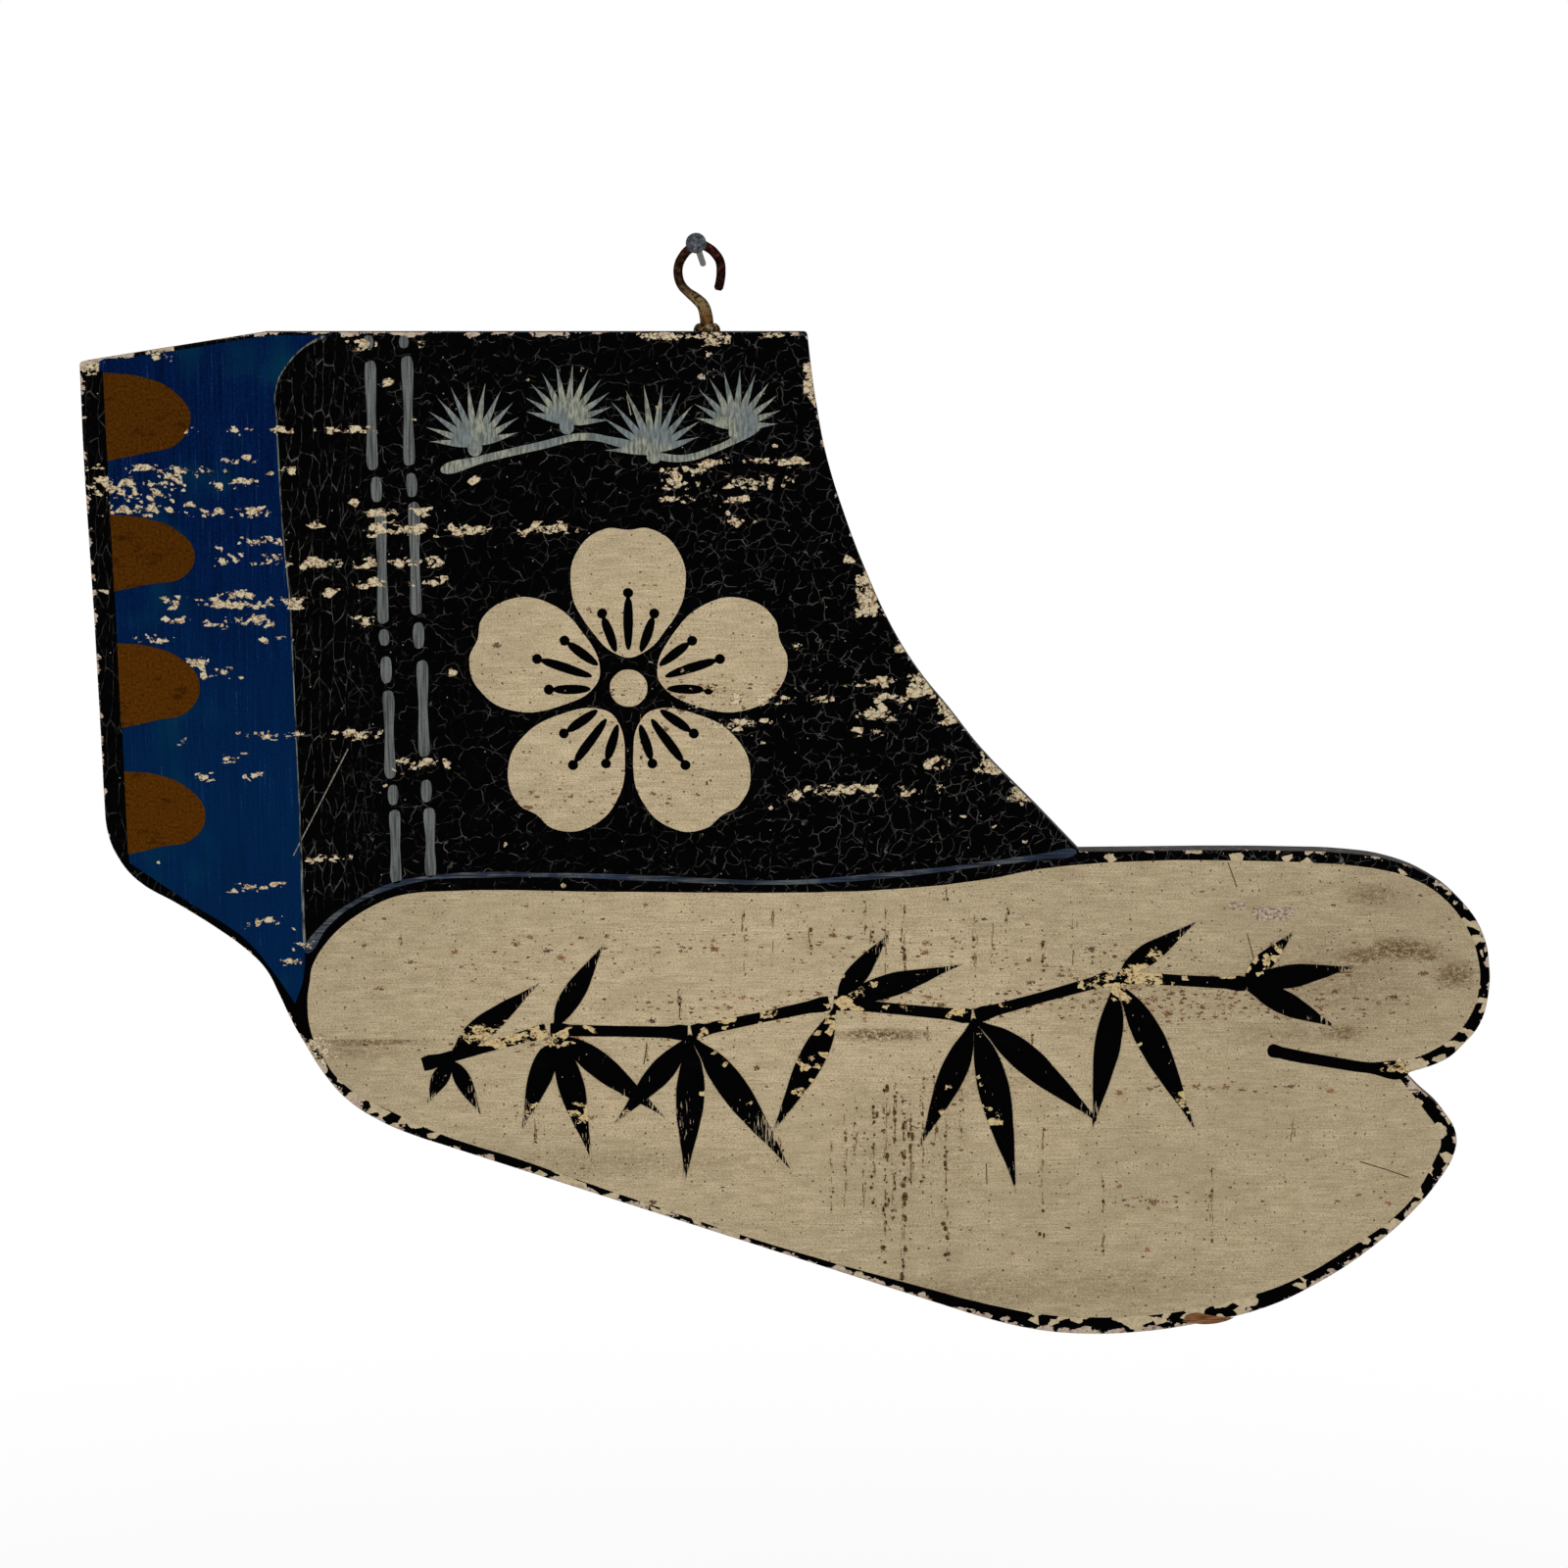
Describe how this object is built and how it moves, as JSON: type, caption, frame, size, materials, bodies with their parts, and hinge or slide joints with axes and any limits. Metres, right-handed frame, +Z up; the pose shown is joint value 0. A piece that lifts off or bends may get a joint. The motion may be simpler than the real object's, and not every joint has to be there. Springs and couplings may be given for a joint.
{
  "type": "hanging trade sign",
  "caption": "Flat wooden trade sign in the outline of a split-toed sock, hung from a wall nail by a screw hook in its top edge.",
  "frame": {"origin": "where the wall nail's centreline enters the wall", "axes": "+X towards the toes, +Y into the wall, +Z up; the painted face looks along -Y"},
  "size_m": [0.5896, 0.0547, 0.4682],
  "materials": {
    "black_board": "black paint over planed wood, crazed and chipped",
    "cream_board": "cream paint over planed wood, worn and stained",
    "batten_wood": "bare planed wood, aged",
    "batten_nail_iron": "forged, dark and dry",
    "hook_iron": "red-brown rust",
    "collar_iron": "brown rust",
    "nail_steel": "dull grey, mottled"
  },
  "bodies": {
    "wall_nail": {"wall_nail": "nail_steel"},
    "sign": {"top_plank": "black_board", "ankle_plank": "black_board", "instep_plank": "cream_board", "sole_plank": "cream_board", "heel_batten": "batten_wood", "shin_batten": "batten_wood", "toe_batten": "batten_wood", "heel_batten_nail_1": "batten_nail_iron", "heel_batten_nail_2": "batten_nail_iron", "heel_batten_nail_3": "batten_nail_iron", "heel_batten_nail_4": "batten_nail_iron", "heel_batten_nail_5": "batten_nail_iron", "shin_batten_nail_1": "batten_nail_iron", "shin_batten_nail_2": "batten_nail_iron", "shin_batten_nail_3": "batten_nail_iron", "shin_batten_nail_4": "batten_nail_iron", "shin_batten_nail_5": "batten_nail_iron", "shin_batten_nail_6": "batten_nail_iron", "shin_batten_nail_7": "batten_nail_iron", "toe_batten_nail_1": "batten_nail_iron", "toe_batten_nail_2": "batten_nail_iron", "toe_batten_nail_3": "batten_nail_iron", "toe_batten_nail_4": "batten_nail_iron", "screw_hook": "hook_iron", "hook_collar": "collar_iron"}
  },
  "joints": [
    {"name": "sign_swing", "type": "hinge", "parent": "wall_nail", "child": "sign", "pos_m": [-0.00065, -0.0168, 0.00327], "axis": [0, 1, 0], "range_deg": [-20, 20]}
  ]
}
